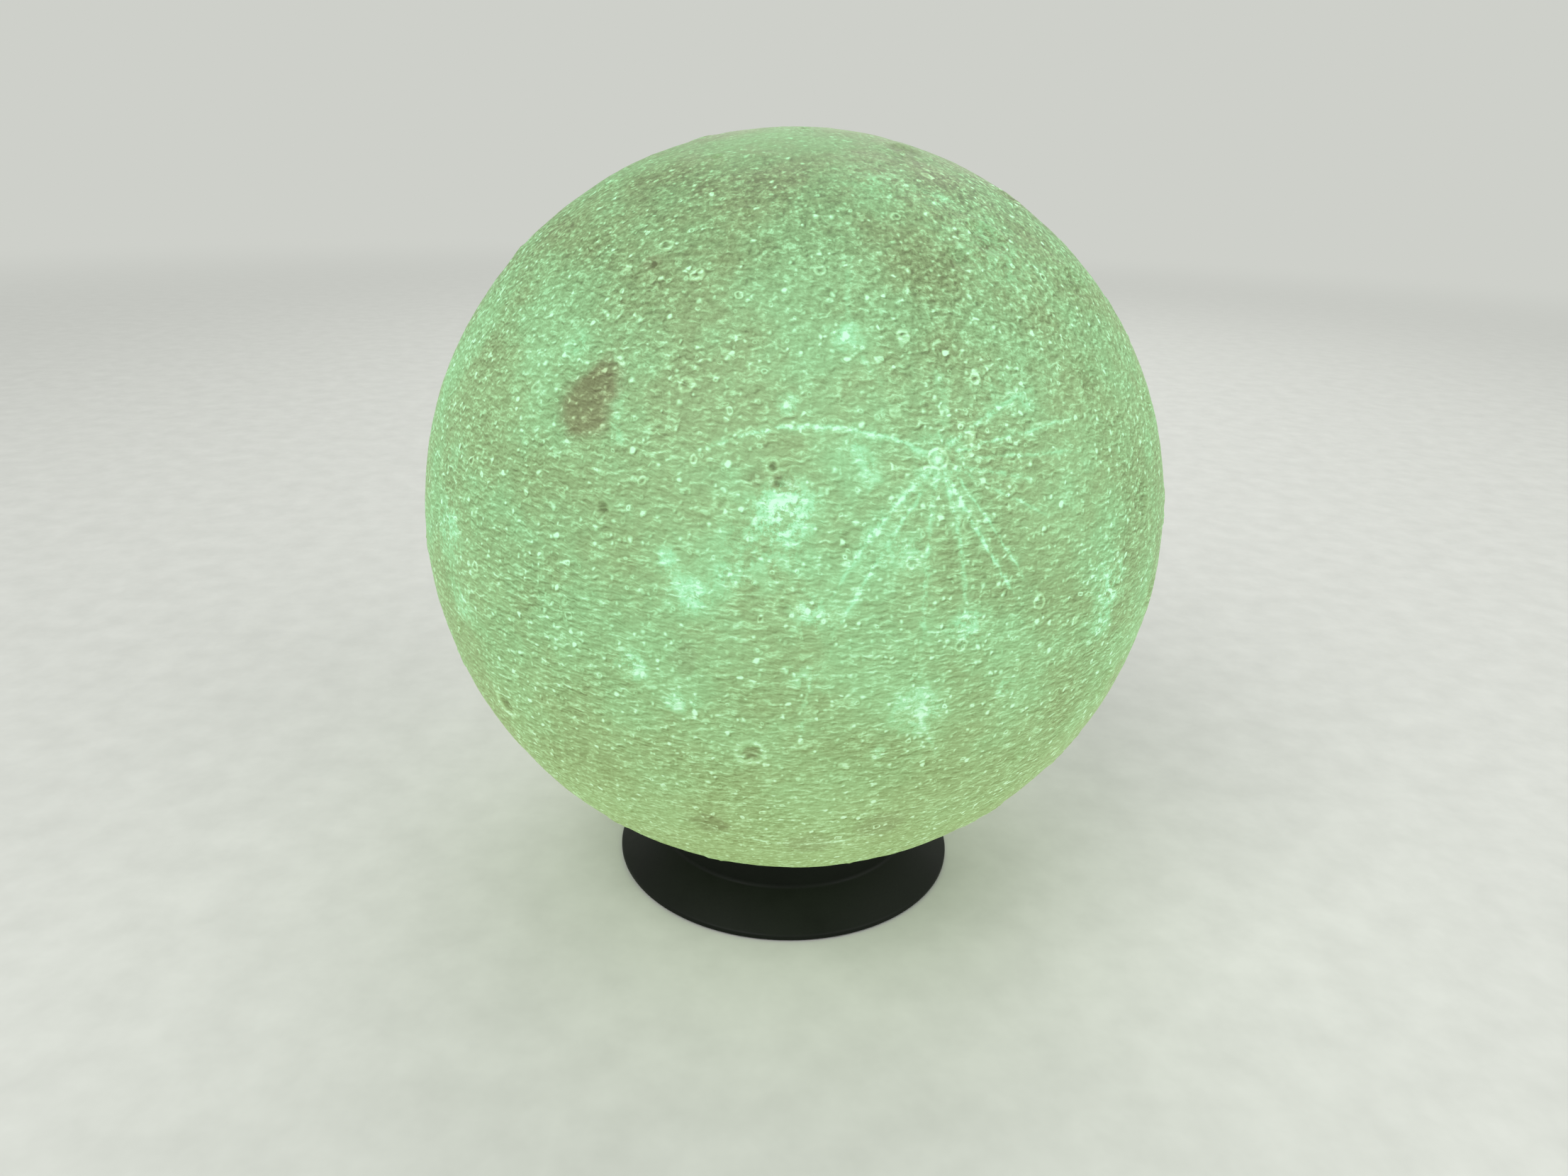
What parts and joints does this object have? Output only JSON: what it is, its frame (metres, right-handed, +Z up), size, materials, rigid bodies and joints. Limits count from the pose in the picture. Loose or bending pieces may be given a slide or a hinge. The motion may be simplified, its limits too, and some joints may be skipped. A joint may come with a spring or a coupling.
{
  "type": "moon lamp",
  "caption": "Hollow cratered globe that glows from inside, resting in a small flared ring stand, with cell, board and light module on a pillar inside.",
  "frame": {"origin": "on the table, under the middle of the stand", "axes": "+Z up along the axis of stand and globe, -Y the front that the picture shows, +X to the right of it"},
  "size_m": [0.15, 0.1501, 0.1584],
  "materials": {
    "globe_print": "printed, thin-walled and lit from inside",
    "stand_black": "moulded, fine satin texture",
    "pad_rubber": "soft matte",
    "ring_slip": "smooth, slightly waxy",
    "cap_white": "moulded, fine satin",
    "touch_metal": "turned rings",
    "socket_metal": "drawn sheet",
    "contact_gold": "gold-plated",
    "black_moulding": "moulded",
    "board_green": "solder mask",
    "board_white": "white solder mask",
    "clear_rod": "clear moulding",
    "screw_steel": "zinc-plated",
    "cell_wrap": "shrink wrap",
    "nickel": "rolled strip",
    "foam_grey": "open foam",
    "wire_red": "insulation",
    "wire_white": "insulation",
    "emitter": "white package with a clear window"
  },
  "bodies": {
    "stand": {"stand_shell": "stand_black", "foot_pads": "pad_rubber"},
    "glide": {"glide_ring": "ring_slip"},
    "globe": {"globe_shell": "globe_print", "cap_housing": "cap_white", "touch_ring": "touch_metal", "touch_contact": "contact_gold", "charge_socket": "socket_metal", "socket_tongue": "black_moulding", "control_board": "board_green", "control_chips": "black_moulding", "ir_receiver": "black_moulding", "charge_light_pipe": "clear_rod", "control_board_screws": "screw_steel", "pillar": "cap_white", "pillar_screws": "screw_steel", "battery_cell": "cell_wrap", "battery_tabs": "nickel", "battery_pad": "foam_grey", "battery_leads": "wire_red", "led_carrier": "cap_white", "led_board": "board_white", "led_board_screws": "screw_steel", "led_emitters": "emitter", "led_leads": "wire_white"}
  },
  "joints": [
    {"name": "globe_turn", "type": "hinge", "parent": "stand", "child": "glide", "pos_m": [0, 0, 0.0115], "axis": [0, 0, 1], "continuous": true},
    {"name": "globe_lift", "type": "slide", "parent": "glide", "child": "globe", "axis": [0, 0, 1], "range_m": [0, 0.04]}
  ]
}
